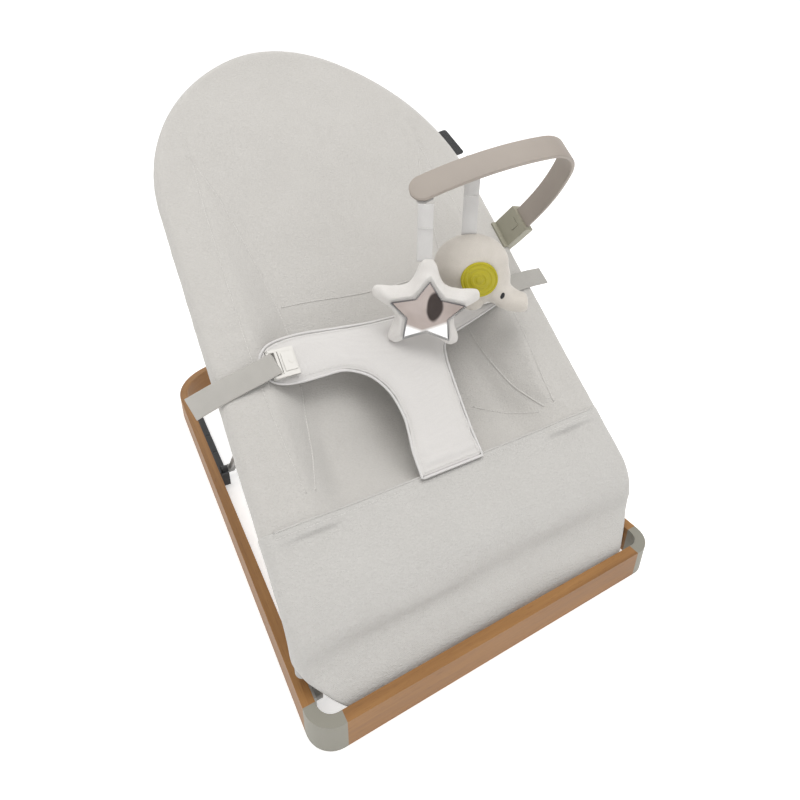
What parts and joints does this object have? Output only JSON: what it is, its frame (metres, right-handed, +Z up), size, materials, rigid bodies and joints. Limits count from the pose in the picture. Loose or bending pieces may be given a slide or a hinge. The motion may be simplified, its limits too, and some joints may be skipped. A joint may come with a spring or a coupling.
{
  "type": "baby bouncer seat with toy bar",
  "caption": "Reclined baby bouncer: wood hoop base, fold-down fabric sling seat with padded harness, and a one-sided toy bar with hanging star and elephant toys",
  "frame": {"origin": "On the floor, under the centre of the base's footprint", "axes": "+Z up, +Y from the foot end towards the head end, +X to the side with the toy bar's clamp"},
  "size_m": [0.484, 0.67, 0.5487],
  "materials": {
    "wood": "satin",
    "grey_plastic": "matte",
    "steel": "brushed",
    "rubber": "matte",
    "frame_paint": "satin",
    "dark_nylon": "matte",
    "seat_cloth": "woven",
    "harness_cloth": "woven",
    "webbing": "woven",
    "white_plastic": "semi-gloss",
    "black_tag": "woven",
    "bar_plastic": "matte",
    "plush": "plush",
    "star_mirror_film": "soft mirror",
    "ear_plastic": "semi-gloss",
    "black_thread": "stitched"
  },
  "bodies": {
    "base": {"wood_hoop": "wood", "front_rail": "wood", "corner_left": "grey_plastic", "corner_right": "grey_plastic", "corner_screws": "steel", "foot_pads": "rubber", "hinge_plates": "steel", "plate_screws": "steel", "hinge_pins": "steel", "rack_left": "dark_nylon", "rack_right": "dark_nylon", "rack_screws": "steel"},
    "cradle": {"hinge_arm_left": "frame_paint", "hinge_arm_right": "frame_paint", "front_cross_tube": "steel", "knee_tube_left": "frame_paint", "knee_tube_right": "frame_paint", "prop_bracket_left": "dark_nylon", "prop_bracket_right": "dark_nylon", "prop_pivot_pins": "steel", "front_panel": "seat_cloth", "lower_sleeves": "seat_cloth", "seat_sling": "seat_cloth", "crotch_pad": "harness_cloth"},
    "prop": {"prop_leg_left": "frame_paint", "prop_leg_right": "frame_paint", "prop_cross_bar": "frame_paint", "prop_foot_left": "dark_nylon", "prop_foot_right": "dark_nylon"},
    "backrest": {"upper_hoop": "frame_paint", "tube_joiners": "dark_nylon", "upper_sleeve": "seat_cloth", "back_sling": "seat_cloth", "waist_pad": "harness_cloth", "buckle_left": "white_plastic", "buckle_right": "white_plastic", "side_strap_left": "webbing", "side_strap_right": "webbing", "blank_tag": "black_tag", "clamp_body": "grey_plastic", "clamp_screw": "steel"},
    "toy_bar_unit": {"toy_bar": "bar_plastic", "star_loop": "webbing", "elephant_loop": "webbing"},
    "clamp_button_unit": {"clamp_button": "grey_plastic"},
    "buckle_button_left_unit": {"buckle_button_left": "white_plastic"},
    "buckle_button_right_unit": {"buckle_button_right": "white_plastic"},
    "star": {"star_ribbon": "webbing", "star_plush": "plush", "star_mirror": "star_mirror_film"},
    "elephant": {"elephant_ribbon": "webbing", "elephant_body": "plush", "elephant_trunk": "plush", "ear_disc": "ear_plastic", "elephant_eye": "black_thread"}
  },
  "joints": [
    {"name": "seat_fold", "type": "hinge", "parent": "base", "child": "cradle", "pos_m": [0, -0.282, 0.019], "axis": [1, 0, 0], "range_deg": [-38, 0]},
    {"name": "prop_swing", "type": "hinge", "parent": "cradle", "child": "prop", "pos_m": [0, -0.11064, 0.2178], "axis": [1, 0, 0], "range_deg": [0, 76]},
    {"name": "back_flex", "type": "hinge", "parent": "cradle", "child": "backrest", "pos_m": [0, -0.10367, 0.2412], "axis": [1, 0, 0], "range_deg": [-2.5, 2], "stiffness_Nm_per_rad": 300},
    {"name": "toy_bar_slide", "type": "slide", "parent": "backrest", "child": "toy_bar_unit", "axis": [0.2588, -0.6, 0.757], "range_m": [0, 0.02]},
    {"name": "clamp_button_press", "type": "slide", "parent": "backrest", "child": "clamp_button_unit", "axis": [0.9659, 0.1608, -0.2028], "range_m": [0, 0.0015], "stiffness_N_per_m": 200},
    {"name": "buckle_button_left_press", "type": "slide", "parent": "backrest", "child": "buckle_button_left_unit", "axis": [0, 0.6211, -0.7837], "range_m": [0, 0.001], "stiffness_N_per_m": 200},
    {"name": "buckle_button_right_press", "type": "slide", "parent": "backrest", "child": "buckle_button_right_unit", "axis": [0, 0.6211, -0.7837], "range_m": [0, 0.001], "stiffness_N_per_m": 200},
    {"name": "star_swing", "type": "hinge", "parent": "toy_bar_unit", "child": "star", "pos_m": [0.024, -0.1079, 0.40676], "axis": [0.866, -0.5, 0], "range_deg": [-25, 0]},
    {"name": "elephant_swing", "type": "hinge", "parent": "toy_bar_unit", "child": "elephant", "pos_m": [0.088, -0.10059, 0.4497], "axis": [0.866, -0.5, 0], "range_deg": [0, 9]}
  ],
  "couplings": [
    {"joint": "prop_swing", "follows": "seat_fold", "ratio": -2}
  ]
}
